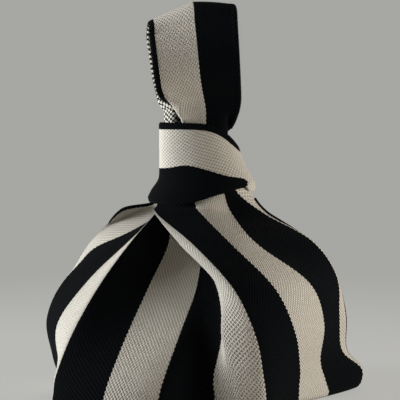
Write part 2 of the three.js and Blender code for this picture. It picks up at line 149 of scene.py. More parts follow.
# How far towards the right, and height of the top of the black stripe there
COLLAR_BLACK = np.array([
    (0, 162.5), (0.1, 163), (0.32, 165), (0.51, 162.4),
    (0.745, 157.6), (0.86, 156.3), (0.915, 154.8), (0.942, 151),
])
# Share of the collar's height, and of the foot's flare at the left, at the right, in front and behind
COLLAR_FLARE = np.array([
    (0, 1, 0.72, 1),
    (0.1, 1.35, 0.79, 1),
    (0.19, 1, 0.89, 0.9),
    (0.25, 0.57, 0.93, 0.76),
    (0.33, 0.1, 0.83, 0.55),
    (0.48, 0, 0.54, 0.3),
    (0.72, 0, 0.24, 0.1),
    (1, 0, 0, 0),
])

# Long handle
SLIDE_GAP = 0.9  # room round the long handle where it slides in the short one
LOOP_FOOT = COLLAR_TOP + LOOSEN_TRAVEL
BEND_CLEARANCE = 5  # from the loosened collar up to the line where the loop bends
BEND_LINE = LOOP_FOOT + BEND_CLEARANCE
SHANK_DROP = 49  # how far the handle runs down inside the collar
SHANK_FOOT = COLLAR_TOP - SHANK_DROP
OPENING_RUN = 24  # height over which a leg flattens out above the collar
CLEAR_RUN = 10  # above the collar's highest place, the front leg comes forward over this height
LOOP_RISE = 70.6  # bend line to the top of the loop
LOOP_DEPTH = 22
LOOP_TOP_WIDTH = 63
LOOP_TOP_LEAN = 9.8  # the top of the loop stands this far to the left
LOOP_LOW_WIDTH = 57
LOOP_LOW_LEAN = 2.2
LOOP_SLANT = 13.75  # the top edge falls this much to the left corner
SLANT_START = 0.06  # place across the strap, from -1 at its left edge to 1 at its right one
SLANT_POWER = 1.08
LOOP_BOW = 7  # the legs bulge apart by this much halfway up
LOOP_TWIST = (-8, 5)  # how far back the front leg's left edge lies, at its foot and at its top
TWIST_RATE = 1.2  # above 1, the twist is over before the top
LOOP_DROOP = 3.4  # how strongly the top edge falls to the right corner
DROOP_START = 0.2
BACK_SHIFT = 2.8  # the back leg stands this far left of the front one
CREAM_WIDTH = 28.7  # of the cream stripe on the loop
LEG_SHARE = 0.42  # share of the run along the strap that each leg takes
LEG_SPREAD = math.radians(80)  # half the angle that one leg takes inside the collar
BACK_LEG_SPREAD = math.radians(64)  # of the back leg's left half
PLEAT_DEPTH = 11  # the back leg is pleated forwards beside its left edge, between these heights
PLEAT_LOW = 176
PLEAT_HIGH = 204
PLEAT_RUN = 14
PLEAT_SPAN = 1.15  # the pleat would end this far out, in halves of the leg
HOLLOW_DEPTH = 8  # the front leg is hollow beside its tucked edge, between these heights
HOLLOW_LOW = 176
HOLLOW_HIGH = 206
HOLLOW_RUN = 16
TUCK_ANGLE = math.radians(-23)  # the front leg's left edge is tucked in here, inside the collar
TUCK_START = -0.78
TUCK_CROWDING = 1.2  # above 1, the fabric lies closer together beside the tucked edge
TUCK_LOW = 205  # under this height the edge is rolled right in
TUCK_HIGH = 212
TUCK_ROLL = math.radians(110)
TUCK_RADIUS = 1.6

# Photograph's view: the camera looks at this point from this far, slightly down
VIEW_TARGET = (-3, 0, 140)
VIEW_DISTANCE = 900
VIEW_TILT = math.radians(4)
VIEW_WIDTH = 280
VIEW_END = 20  # in metres, past the floor's far edge
SENSOR_WIDTH = 36


def mix(a, b, share):
    return a + (b - a) * share


def smooth(share):
    share = np.clip(share, 0, 1)
    return share * share * (3 - 2 * share)


def hump(at, middle, width):
    """1 at a middle, falling smoothly to 0 on both sides."""
    return np.exp(-((at - middle) / width) ** 2)


def between(at, low, high, run):
    """Rises from 0 to 1 over a run from the low end, and falls again over a run from the high end."""
    return smooth((at - low) / run) * (1 - smooth((at - high) / run))


def unit(vectors):
    return vectors / np.maximum(np.linalg.norm(vectors, axis=-1, keepdims=True), 1e-9)


def spline(stations, values, at, softness=None):
    """A curve through values at uneven stations; softness under 1 turns more sharply at its station."""
    stations = np.asarray(stations, float)
    values = np.asarray(values, float)
    at = np.asarray(at, float)
    last = len(stations) - 1
    before = np.maximum(np.arange(last + 1) - 1, 0)
    after = np.minimum(np.arange(last + 1) + 1, last)
    flat = (1,) * (values.ndim - 1)
    width = (stations[after] - stations[before]).reshape(-1, *flat)
    slope = (values[after] - values[before]) / width
    if softness is not None:
        slope = slope * np.asarray(softness, float).reshape(-1, *flat)
    i = np.clip(np.searchsorted(stations, at, side="left") - 1, 0, last - 1)
    span = stations[i + 1] - stations[i]
    t = (at - stations[i]) / span
    t = t.reshape(at.shape + flat)
    span = span.reshape(at.shape + flat)
    blend = t * t * (3 - 2 * t)
    return (mix(values[i], values[i + 1], blend)
            + slope[i] * span * t * (1 - t) ** 2 - slope[i + 1] * span * t * t * (1 - t))


def run_along(path):
    """Distance along a row of points, from the first."""
    return np.concatenate([[0], np.cumsum(np.linalg.norm(np.diff(path, axis=0), axis=1))])


def run_up(grid, start=0):
    """Distance up each column of a grid, counted from one of its rows."""
    step = np.linalg.norm(np.diff(grid, axis=0), axis=2)
    run = np.concatenate([np.zeros((1, grid.shape[1])), np.cumsum(step, axis=0)])
    return run - run[start]


# Edges of the collar, by the angle round it, counted from the right

def towards_right(angle):
    """0 at the left, and 1 at the right."""
    return (1 + np.cos(angle)) / 2


def upper_edge(angle):
    return COLLAR_TOP - COLLAR_DIP * towards_right(angle) ** DIP_POWER


def lower_edge(angle):
    right = towards_right(angle)
    tuck = COLLAR_TUCK * smooth((right - RISE_START) / RISE_RUN)
    return COLLAR_FOOT + tuck + SHOULDER_RISE * (1 - right) ** 2


# Shape of the pouch

def level_size(level):
    """Half width, half depth and height of a level."""
    if level == THROAT_LEVEL:
        return NECK_WIDTH / 2 + THROAT_FLARE, NECK_DEPTH / 2 + THROAT_FLARE, POUCH_HEIGHT
    if level == NECK_LEVEL:
        return NECK_TOP_WIDTH / 2, NECK_TOP_DEPTH / 2, POUCH_HEIGHT + NECK_RISE
    height, swell = LEVELS[level][:2]
    width = mix(NECK_WIDTH, POUCH_WIDTH, swell)
    depth = mix(NECK_DEPTH, POUCH_DEPTH, swell)
    return width / 2, depth / 2, height * POUCH_HEIGHT


def back_places(first, last, level):
    """Even places round the back of a level, from one rail to the other, with hanging gathers."""
    half_width, half_depth = level_size(level)[:2]
    gather, fullness = LEVELS[level][2:] if level < THROAT_LEVEL else (0, THROAT_FULLNESS)
    bulge = half_depth * fullness - (first[1] + last[1]) / 2
    share = np.linspace(0, 1, BACK_POINTS)
    x = mix(last[0], first[0], (1 + np.cos(np.pi * share)) / 2)
    y = mix(first[1], last[1], share) + bulge * np.abs(np.sin(np.pi * share)) ** BACK_SQUARE
    arc = np.stack([x, y], 1)
    run = run_along(arc)
    places = spline(run, arc, np.linspace(0, run[-1], BACK_RAILS + 2)[1:-1])
    outward = unit(places / np.array([half_width, half_depth]))
    sign = np.where(np.arange(BACK_RAILS) % 2, 1, -1)[:, None]
    return places + outward * sign * GATHER_DEPTH * gather / 2


def pouch_rails():
    """Stripe numbers, softness, and points by level and rail."""
    stripes = [rail[0] for rail in RAILS] + [LAST_STRIPE + 1 + k for k in range(BACK_RAILS)]
    softness = [rail[1] for rail in RAILS] + [1] * BACK_RAILS
    rows = []
    for level in range(NECK_LEVEL + 1):
        half_width, half_depth, height = level_size(level)
        percent = np.array([rail[2][min(level, THROAT_LEVEL)] for rail in RAILS], float)
        places = percent / 100 * np.array([half_width, half_depth])
        places = np.concatenate([places, back_places(places[-2], places[0], level)])
        rise = 0
        if level >= THROAT_LEVEL:
            angle = np.arctan2(places[:, 1] / half_depth, places[:, 0] / half_width)
            rise = lower_edge(angle) - COLLAR_FOOT
        rows.append(np.column_stack([places, np.zeros(len(places)) + height + rise]))
    return np.array(stripes, float), np.array(softness, float), np.array(rows)


RAIL_STRIPES, RAIL_SOFTNESS, RAIL_ROWS = pouch_rails()


def pouch_grid(stripes, levels):
    """Points of the pouch's outer face: one row for each level, one column for each stripe number."""
    rails = spline(np.arange(NECK_LEVEL + 1), RAIL_ROWS, np.asarray(levels, float))
    turns = (-STRIPES, 0, STRIPES)
    around = np.concatenate([RAIL_STRIPES + turn for turn in turns])
    softness = np.concatenate([RAIL_SOFTNESS] * len(turns))
    rows = [spline(around, np.concatenate([row] * len(turns)), stripes, softness) for row in rails]
    grid = np.array(rows)
    turned = 1 - np.clip(grid[:, :, 2:] / HEM_ROUND, 0, 1)
    inset = HEM_ROUND * (1 - np.sqrt(1 - turned * turned))
    return grid - unit(grid * np.array([1, 1, 0])) * inset


# Shape of the collar

FOOT_ROOM = THROAT_FLARE + COLLAR_SEAT + KNIT  # from the neck to the foot's outer face


def collar_points(angle, height, inset=0.0):
    """Outer face of the collar at angles round it, counted from the right, and at heights."""
    flare = spline(COLLAR_FLARE[:, 0], COLLAR_FLARE[:, 1:], (height - COLLAR_FOOT) / COLLAR_HEIGHT)
    left = mix(COLLAR_TOP_WIDTH / 2 + COLLAR_LEAN, NECK_WIDTH / 2 + FOOT_ROOM, flare[..., 0])
    right = mix(COLLAR_TOP_WIDTH / 2 - COLLAR_LEAN, NECK_WIDTH / 2 + FOOT_ROOM, flare[..., 1])
    half_depth = mix(COLLAR_TOP_DEPTH / 2, NECK_DEPTH / 2 + FOOT_ROOM, flare[..., 2])
    x = (right - left) / 2 + ((left + right) / 2 - inset) * np.cos(angle)
    return np.stack([x, (half_depth - inset) * np.sin(angle), height], -1)


def collar_stripe(angle, height):
    """Stripe number on the collar: black under 2 along its lower edge, and cream above."""
    right = towards_right(angle)
    black_top = spline(COLLAR_BLACK[:, 0], COLLAR_BLACK[:, 1], right)
    black_top = np.where(right < COLLAR_BLACK[-1, 0], black_top, 0)
    stripe = np.clip(2 + (height - black_top) / STRIPE, *COLLAR_STRIPES)
    under_tip = (right > TIP_START) & (height < lower_edge(angle) + TRIM_WIDTH / 2)
    return np.where(under_tip, CREAM_STRIPE, stripe)


# Shape of the long handle

def ease_out(share):
    return 1 - (1 - np.clip(share, 0, 1)) ** 2


def rolled_edge(distance, roll):
    """Offsets to the right and back, past the tuck line, of fabric that is bent round by an angle."""
    bend = TUCK_RADIUS / np.maximum(roll, 0.001)
    near = np.minimum(distance, TUCK_RADIUS)
    far = distance - near
    right = -bend * np.sin(near / bend) - far * np.cos(roll)
    back = bend * (1 - np.cos(near / bend)) + far * np.sin(roll)
    return right, back


def leg_points(u, height, front):
    """Outer face of a leg; u runs from -1 at its left edge to 1 at its right edge."""
    shank_width = COLLAR_TOP_WIDTH / 2 - KNIT - SLIDE_GAP
    shank_depth = COLLAR_TOP_DEPTH / 2 - KNIT - SLIDE_GAP
    clear = upper_edge(u * LEG_SPREAD - math.pi / 2) + LOOSEN_TRAVEL + SLIDE_GAP
    start = clear
    inner = u
    if front:
        inner = np.maximum(u, TUCK_START)
        share = (inner - TUCK_START) / (1 - TUCK_START)
        angle = mix(TUCK_ANGLE, LEG_SPREAD, share ** TUCK_CROWDING)
        start = start - LOOSEN_TRAVEL * smooth(-u)
    else:
        angle = np.where(u < 0, BACK_LEG_SPREAD, LEG_SPREAD) * u
    opened = ease_out((height - start) / OPENING_RUN)
    forward = ease_out((height - clear) / OPENING_RUN)
    up = (height - LOOP_FOOT) / (BEND_LINE + LOOP_RISE - LOOP_FOOT)
    lean = mix(LOOP_LOW_LEAN, LOOP_TOP_LEAN, up)
    width = mix(LOOP_LOW_WIDTH, LOOP_TOP_WIDTH, up)
    bowed = np.clip((height - LOOP_FOOT) / (LOOP_RISE - LOOP_DEPTH / 2), 0, 1)
    bow = LOOP_BOW * np.sin(np.pi * bowed) ** 2
    x = mix(-COLLAR_LEAN + shank_width * np.sin(angle), -lean + width / 2 * inner, opened)
    y = mix(-shank_depth * np.cos(angle), -LOOP_DEPTH / 2 - bow, forward)
    if front:
        y = y - mix(*LOOP_TWIST, smooth(up * TWIST_RATE)) * u * forward
        hollow = HOLLOW_DEPTH * between(height, HOLLOW_LOW, HOLLOW_HIGH, HOLLOW_RUN)
        y = y + hollow * np.sin(np.pi * share) * (1 - share)
        # Under the collar's highest place the leg keeps inside it
        inside = shank_depth * np.sqrt(np.clip(1 - ((x + COLLAR_LEAN) / shank_width) ** 2, 0, 1))
        y = np.maximum(y, mix(-inside, y, smooth((height - clear) / CLEAR_RUN)))
        roll = TUCK_ROLL * (1 - smooth((height - TUCK_LOW) / (TUCK_HIGH - TUCK_LOW)))
        right, back = rolled_edge((inner - u) * width / 2, roll)
        x = x + right
        y = y + back
    else:
        pleat = PLEAT_DEPTH * between(height, PLEAT_LOW, PLEAT_HIGH, PLEAT_RUN)
        y = -y - pleat * np.sin(np.pi * np.clip(-u / PLEAT_SPAN, 0, 1)) ** 2
    return np.stack([x, y, height + np.zeros_like(u)], -1)


def crest_height(u):
    """Height of the top of the loop across the strap."""
    left = (np.maximum(SLANT_START - u, 0) / (1 + SLANT_START)) ** SLANT_POWER
    right = np.maximum(u - DROOP_START, 0) ** 2
    return BEND_LINE + LOOP_RISE - LOOP_SLANT * left - LOOP_DROOP * right


def loop_row(u, run):
    """One row across the strap: run is 0 at the front leg's foot, and 1 at the back leg's foot."""
    radius = LOOP_DEPTH / 2
    spring = crest_height(u) - radius
    shift = np.array([-BACK_SHIFT, 0, 0])
    if run <= LEG_SHARE:
        return leg_points(u, mix(SHANK_FOOT, spring, run / LEG_SHARE), True)
    if run >= 1 - LEG_SHARE:
        height = mix(SHANK_FOOT, spring, (1 - run) / LEG_SHARE)
        return leg_points(u, height, False) + shift * smooth((height - LOOP_FOOT) / LOOSEN_TRAVEL)[:, None]
    turn = (run - LEG_SHARE) / (1 - 2 * LEG_SHARE)
    angle = math.pi * turn
    row = leg_points(u, spring, True) + shift * smooth(turn)
    row[:, 1] = mix(row[:, 1], radius, (1 - math.cos(angle)) / 2)
    row[:, 2] = spring + radius * math.sin(angle)
    return row


def loop_grid(u, runs):
    return np.array([loop_row(np.asarray(u, float), run) for run in runs])


# Making meshes

EDGE_ROUND = 0.35  # share of the fabric's thickness by which its edges are rounded
EDGE_ANGLE = math.radians(65)


def add_object(name, data):
    obj = bpy.data.objects.new(name, data)
    bpy.context.scene.collection.objects.link(obj)
    return obj


def quads(rows, columns, ring_rows=False, ring_columns=False):
    """Faces of a grid of points, whose last row or column may be joined to the first."""
    faces = []
    for j in range(rows if ring_rows else rows - 1):
        n = (j + 1) % rows
        for i in range(columns if ring_columns else columns - 1):
            k = (i + 1) % columns
            faces.append((j * columns + i, j * columns + k, n * columns + k, n * columns + i))
    return faces


def knit_object(name, grid, faces, fabric, materials, opened=0.0):
    """A mesh whose points hold the knit's wale, course and stripe, and how far it is opened up."""
    points = grid.reshape(-1, 3) * MM
    mesh = bpy.data.meshes.new(name)
    mesh.from_pydata(points.tolist(), [], faces)
    attribute = mesh.attributes.new("fabric", "FLOAT_VECTOR", "POINT")
    attribute.data.foreach_set("vector", np.ascontiguousarray(fabric, np.float32).ravel())
    gaps = mesh.attributes.new("opened", "FLOAT", "POINT")
    gaps.data.foreach_set("value", np.broadcast_to(np.ravel(opened), len(points)).astype(np.float32))
    for material in materials:
        mesh.materials.append(material)
    return add_object(name, mesh)


def finish_mesh(obj):
    """Apply the modifiers and shade the mesh smooth."""
    graph = bpy.context.evaluated_depsgraph_get()
    mesh = bpy.data.meshes.new_from_object(obj.evaluated_get(graph))
    obj.modifiers.clear()
    obj.data = mesh
    mesh.name = obj.name
    mesh.polygons.foreach_set("use_smooth", [True] * len(mesh.polygons))
    return obj


def sheet_object(name, grid, fabric, outer, inner, ring=False, opened=0.0, thickness=None):
    """Fabric from a grid of points on its outer face, thickened inwards, with rounded edges.

    ring joins the last column to the first one, and closes the last row by one face. thickness holds a
    share of the full thickness for each point, where folds lie too close for it.
    """
    rows, columns = grid.shape[:2]
    faces = quads(rows, columns, ring_columns=ring)
    if ring:
        faces.append(tuple((rows - 1) * columns + i for i in range(columns)))
    obj = knit_object(name, grid, faces, fabric, [outer, inner], opened)
    solid = obj.modifiers.new("thickness", "SOLIDIFY")
    if thickness is not None:
        group = obj.vertex_groups.new(name="thickness")
        for index, share in enumerate(np.ravel(thickness)):
            group.add([index], float(share), "REPLACE")
        solid.vertex_group = "thickness"
    solid.thickness = KNIT * MM
    solid.offset = -1
    solid.material_offset = 1
    bevel = obj.modifiers.new("edges", "BEVEL")
    bevel.width = KNIT * EDGE_ROUND * MM
    bevel.segments = 2
    bevel.limit_method = "ANGLE"
    bevel.angle_limit = EDGE_ANGLE
    return finish_mesh(obj)


SECTION_POINTS = 14  # round a strip
SECTION_WIDE = 0.7  # powers of the section's outline: 1 makes an ellipse, and less is squarer
SECTION_HIGH = 0.8
UNDERSIDE = -0.3  # faces of the section that lie under this height, of 1, belong to its underside
ROWS_PER_COURSE = 4
TOOTH = 0.12  # share of the width by which a stitch stands out
END_RUN = 0.4  # share of the width over which a strip's ends are rounded
END_WIDTH = 0.55  # share of the width that is left at its ends
THIN = 0.25  # share of the size that is left at a tapered end
STRIP_SINK = 0.4  # share of the fabric's thickness by which a seam lies in it


def strip_object(name, path, outward, width, height, material, closed=False, stripe=BLACK_STRIPE,
                 inside=None, taper=None):
    """A rounded band of edging along a path, with the small teeth of its stitches along both sides.

    inside is the material of its underside. taper holds two shares of its length: it is thin up to the
    first, and full from the second.
    """
    stripes = np.broadcast_to(stripe, len(path))
    if closed:
        path = np.vstack([path, path[:1]])
        outward = np.vstack([outward, outward[:1]])
        stripes = np.append(stripes, stripes[0])
    run = run_along(path)
    length = run[-1]
    count = int(length / COURSE * ROWS_PER_COURSE)
    at = np.linspace(0, length, count, endpoint=not closed)
    centre = np.stack([np.interp(at, run, path[:, k]) for k in range(3)], 1)
    normal = unit(np.stack([np.interp(at, run, outward[:, k]) for k in range(3)], 1))
    along = unit(np.gradient(centre, axis=0))
    if closed:
        along = unit(np.roll(centre, -1, axis=0) - np.roll(centre, 1, axis=0))
    across = unit(np.cross(normal, along))
    normal = np.cross(along, across)
    angle = np.arange(SECTION_POINTS) * 2 * math.pi / SECTION_POINTS
    wide = np.sign(np.cos(angle)) * np.abs(np.cos(angle)) ** SECTION_WIDE * width / 2
    high = np.sign(np.sin(angle)) * np.abs(np.sin(angle)) ** SECTION_HIGH * height / 2
    tooth = 1 + TOOTH * np.cos(2 * math.pi * at / COURSE)
    if not closed:
        ends = np.minimum(at, length - at) / (width * END_RUN)
        tooth = tooth * mix(END_WIDTH, 1, np.sqrt(ease_out(ends)))
    rise = np.ones(count)
    if taper:
        rise = mix(THIN, 1, smooth((at / length - taper[0]) / (taper[1] - taper[0])))
        tooth = tooth * rise
    grid = (centre[:, None] + across[:, None] * np.outer(tooth, wide)[..., None]
            + normal[:, None] * np.outer(rise, high)[..., None])
    faces = quads(count, SECTION_POINTS, ring_rows=closed, ring_columns=True)
    if not closed:
        faces.append(tuple(range(SECTION_POINTS)))
        faces.append(tuple((count - 1) * SECTION_POINTS + k for k in reversed(range(SECTION_POINTS))))
    fabric = np.zeros_like(grid)
    fabric[:, :, 0] = wide / WALE + 0.5
    fabric[:, :, 1] = at[:, None] / COURSE
    fabric[:, :, 2] = np.interp(at, run, stripes)[:, None]
    obj = knit_object(name, grid, faces, fabric, [material, inside or material])
    middle = np.sin(angle + math.pi / SECTION_POINTS)
    for index in range(len(faces)):
        obj.data.polygons[index].material_index = int(middle[index % SECTION_POINTS] < UNDERSIDE)
    work = bmesh.new()
    work.from_mesh(obj.data)
    bmesh.ops.recalc_face_normals(work, faces=work.faces)
    work.to_mesh(obj.data)
    work.free()
    return finish_mesh(obj)


# Materials

class Nodes:
    """Short calls for the nodes of a material or the world."""

    def __init__(self, owner):
        owner.use_nodes = True
        self.owner = owner
        self.tree = owner.node_tree

    def link(self, value, socket):
        if isinstance(value, bpy.types.NodeSocket):
            self.tree.links.new(value, socket)
        else:
            socket.default_value = value

    def new(self, kind, **values):
        """A node of a kind, with values for the inputs that are named."""
        node = self.tree.nodes.new("ShaderNode" + kind)
        for name, value in values.items():
            self.link(value, node.inputs[name])
        return node

    def look(self, name, value):
        self.link(value, self.tree.nodes["Principled BSDF"].inputs[name])

    def math(self, operation, a, b=0.0, c=0.0):
        node = self.new("Math")
        node.operation = operation
        for socket, value in zip(node.inputs, (a, b, c)):
            self.link(value, socket)
        return node.outputs[0]

    def times(self, a, b):
        return self.math("MULTIPLY", a, b)

    def ramp(self, value, low, high):
        node = self.new("MapRange", Value=value)
        node.interpolation_type = "SMOOTHSTEP"
        node.inputs["From Min"].default_value = low
        node.inputs["From Max"].default_value = high
        return node.outputs["Result"]

    def colour(self, share, low, high):
        """A colour between two, by the sockets that a mix of colours uses."""
        node = self.new("Mix")
        node.data_type = "RGBA"
        self.link(share, node.inputs[0])
        self.link(low, node.inputs[6])
        self.link(high, node.inputs[7])
        return node.outputs[2]

    def noise(self, vector, scale):
        return self.new("TexNoise", Vector=vector, Scale=scale, Detail=2.0).outputs["Fac"]

    def finish(self, colour, height, depth, sheen):
        """Matt fabric of a colour, with a relief of a height from 0 to 1 and a depth."""
        bump = self.new("Bump", Strength=1.0, Distance=depth * MM, Height=height)
        self.look("Normal", bump.outputs["Normal"])
        self.look("Base Color", colour)
        self.look("Roughness", 0.95)
        self.look("Specular IOR Level", 0.03)
        self.look("Sheen Weight", sheen)
        self.look("Sheen Roughness", 0.5)
        return self.owner


def rgb(red, green, blue):
    return (red, green, blue, 1.0)


CREAM = rgb(0.80, 0.76, 0.67)
# darker cream, for random patches and for painted shade in the knit's hollows
CREAM_PATCH_AND_PAINTED_SHADE = rgb(0.46, 0.42, 0.36)
CREAM_GAP = rgb(0.035, 0.033, 0.03)
BLACK = rgb(0.0042, 0.0054, 0.0068)
# painted shade: the black yarn is darker in the relief's hollows
BLACK_PAINTED_SHADE = rgb(0.002, 0.0023, 0.0027)
SHEEN = 0.016
REVERSE_SHEEN = 0.03
BIRDSEYE_CELL = 3.6  # the reverse has a white dot at the corners and the middle of each such square
DOT_EDGE = (0.34, 0.26)  # a dot ends and is full at these distances from its middle, in squares
SPECK_EDGE = (0.26, 0.1)  # and so does the dark speck at the gap beside a stitch, in two stitches
GAP_EDGE = (0.08, 0.5)  # the relief rises from the gap between these distances
GAP_SHARE = 0.65  # shares of the relief that come from the gaps and from the stitches' legs
RIDGE_SHARE = 0.35
LEG_SLANT = 1.3
SPECK_DEPTH = 0.5
CREAM_PAINTED_SHADE_HEIGHTS = (0.0, 0.8)  # painted shade: the yarn is darkened in the relief's hollows, and turns to its full colour between these heights
# painted shade: the black yarn turns from darker to its full colour between these heights
BLACK_PAINTED_SHADE_HEIGHTS = (0.05, 0.8)
PATCH_SCALE = 0.3  # of the noise that shades the yarn in patches
PATCH_EDGE = (0.3, 0.7)
PATCH_SHADE = 0.12
FIBRE_SCALE = 2.3  # of the noise that makes the specks uneven
FIBRE_SHARE = 0.8
FIBRE_LEAST = 0.6
JAG_MIDDLE = 0.6  # height of a stripe's tooth that lies on the stripe's edge
REVERSE_RELIEF = 0.5
TRIM_RELIEF = 0.4


class Knit(Nodes):
    """A knit, from its wale, course and stripe numbers; every second stitch has a gap beside it."""

    def __init__(self, name):
        super().__init__(bpy.data.materials.new(name))
        self.vector = self.attribute("fabric").outputs["Vector"]
        self.wale, self.course, self.stripe = self.new("SeparateXYZ", Vector=self.vector).outputs
        self.opened = self.attribute("opened").outputs["Fac"]
        self.gap = self.dots(self.times(self.wale, 0.5), self.times(self.course, 0.5))
        self.speck = self.ramp(self.gap, *SPECK_EDGE)
        leg = self.math("ABSOLUTE", self.math("SUBTRACT", self.math("FRACT", self.wale), 0.5))
        slant = self.math("FRACT", self.math("MULTIPLY_ADD", leg, LEG_SLANT, self.course))
        ridge = self.math("SINE", self.times(slant, math.pi))
        gaps = self.times(self.ramp(self.gap, *GAP_EDGE), GAP_SHARE)
        self.height = self.math("MULTIPLY_ADD", ridge, RIDGE_SHARE, gaps)

    def attribute(self, name):
        node = self.new("Attribute")
        node.attribute_name = name
        return node

    def length(self, a, b):
        squares = self.math("ADD", self.times(a, a), self.times(b, b))
        return self.math("SQRT", squares)

    def offset(self, part, shift):
        """From -0.5 to 0.5 in each unit, after a shift."""
        return self.math("SUBTRACT", self.math("FRACT", self.math("ADD", part, shift)), 0.5)

    def dots(self, a, b):
        """Distance from the nearest of the dots at the corners and the middle of each unit square."""
        distances = []
        for shift in (0.5, 1.0):
            distances.append(self.length(self.offset(a, shift), self.offset(b, shift)))
        return self.math("MINIMUM", *distances)

    def cream(self, least, most):
        """Cream yarn, with painted shade in the relief's hollows, and a dark speck at each gap that is
        stronger where the knit is opened up.
        """
        patch = self.ramp(self.noise(self.vector, PATCH_SCALE), *PATCH_EDGE)
        fibre = self.noise(self.vector, FIBRE_SCALE)
        # painted shade: the yarn darkens from its full colour towards the relief's hollows
        yarn = self.colour(self.ramp(self.height, *CREAM_PAINTED_SHADE_HEIGHTS), CREAM_PATCH_AND_PAINTED_SHADE, CREAM)
        yarn = self.colour(self.times(patch, PATCH_SHADE), yarn, CREAM_PATCH_AND_PAINTED_SHADE)
        share = self.math("MULTIPLY_ADD", self.opened, most - least, least)
        uneven = self.math("MULTIPLY_ADD", fibre, FIBRE_SHARE, FIBRE_LEAST)
        speck = self.times(self.speck, self.times(share, uneven))
        return self.colour(speck, yarn, CREAM_GAP)

    def black(self):
        # black yarn with painted shade in the relief's hollows, lighter on the stitches' tops
        return self.colour(self.ramp(self.height, *BLACK_PAINTED_SHADE_HEIGHTS), BLACK_PAINTED_SHADE, BLACK)

    def relief(self):
        return self.math("SUBTRACT", self.height, self.times(self.speck, SPECK_DEPTH))


def striped_knit(name, least, most, step, depth):
    """Wide stripes whose edges step from stitch to stitch; dark yarn shows between cream stitches.

    least and most are the specks' strength where the knit is closed and opened up, step is the stripes'
    step in wales, and depth is that of the relief.
    """
    n = Knit(name)
    tooth = n.math("ABSOLUTE", n.math("SINE", n.times(n.course, math.pi / 2)))
    jag = n.times(n.math("SUBTRACT", tooth, JAG_MIDDLE), step / WALES)
    pair = n.math("FRACT", n.times(n.math("ADD", n.stripe, jag), 0.5))
    dark = n.math("GREATER_THAN", pair, 0.5)
    return n.finish(n.colour(dark, n.cream(least, most), n.black()), n.relief(), depth, SHEEN)


def reverse_knit():
    """The inside of the double-faced knit, black with a white dot at every other place."""
    n = Knit("reverse_knit")
    across = n.times(n.wale, WALE / BIRDSEYE_CELL)
    along = n.times(n.course, COURSE / BIRDSEYE_CELL)
    white = n.ramp(n.dots(across, along), *DOT_EDGE)
    return n.finish(n.colour(white, BLACK, CREAM), white, REVERSE_RELIEF, REVERSE_SHEEN)


def black_knit(name):
    n = Knit(name)
    return n.finish(n.black(), n.relief(), TRIM_RELIEF, SHEEN)


pouch_knit = striped_knit("pouch_knit", least=0.28, most=0.42, step=0.7, depth=0.35)
handle_knit = striped_knit("handle_knit", least=0.22, most=1.0, step=0.4, depth=0.22)
reverse = reverse_knit()
trim_knit = black_knit("trim_knit")
seam_knit = black_knit("seam_knit")


# Camera

def make_camera():
    data = bpy.data.cameras.new("camera")
    data.sensor_width = SENSOR_WIDTH
    data.lens = SENSOR_WIDTH * VIEW_DISTANCE / VIEW_WIDTH
    data.clip_end = VIEW_END
    camera = add_object("camera", data)
    target = Vector(VIEW_TARGET)
    away = Vector((0, -math.cos(VIEW_TILT), math.sin(VIEW_TILT)))
    camera.location = (target + away * VIEW_DISTANCE) * MM
    camera.rotation_euler = (-away).to_track_quat("-Z", "Y").to_euler()
    bpy.context.scene.camera = camera


make_camera()


# Pouch pieces

LEVEL_STEPS = [14, 8, 14, 14, 16, 18, 20, 6]  # rows of the mesh from each level to the next
pouch_levels = np.concatenate([[0]] + [k + np.arange(1, n + 1) / n for k, n in enumerate(LEVEL_STEPS)])
COUNT_LEVEL = 3  # the courses are counted from this level
COLUMNS_PER_STRIPE = 18
FOLD_STRIPE = 4.8  # the knit is stretched open over the fold here
FOLD_WIDTH = 0.5
FOLD_END = SHOULDER_LEVEL - 0.2  # up to this level
LIT_STRIPE = 0.5  # and on the left side
LIT_WIDTH = 0.7
LIT_OPENED = 2
CLOSED_STRIPE = 8.6  # the knit lies close together at the right
CLOSED_WIDTH = 0.8
CLOSED_DEPTH = 2
SIDE_STRIPE = -1.2  # the stripes' edge bulges upwards here, on the left shoulder
SIDE_WIDTH = 0.6
SIDE_LEVEL = 4.62
SIDE_RUN = 0.5
SIDE_BULGE = 0.3
PLEATS = (-3, 5.2)  # stripes that are pleated together at the throat
PLEAT_THINNING = 0.85  # share of the thickness that they lose
PLEAT_LEVELS = 0.9  # over this many levels from the shoulder
SEAM_START = 0.15  # level at which the side seams start
LEFT_TRIM_END = THROAT_LEVEL + 0.5
RIGHT_TRIM_END = THROAT_LEVEL - 0.5


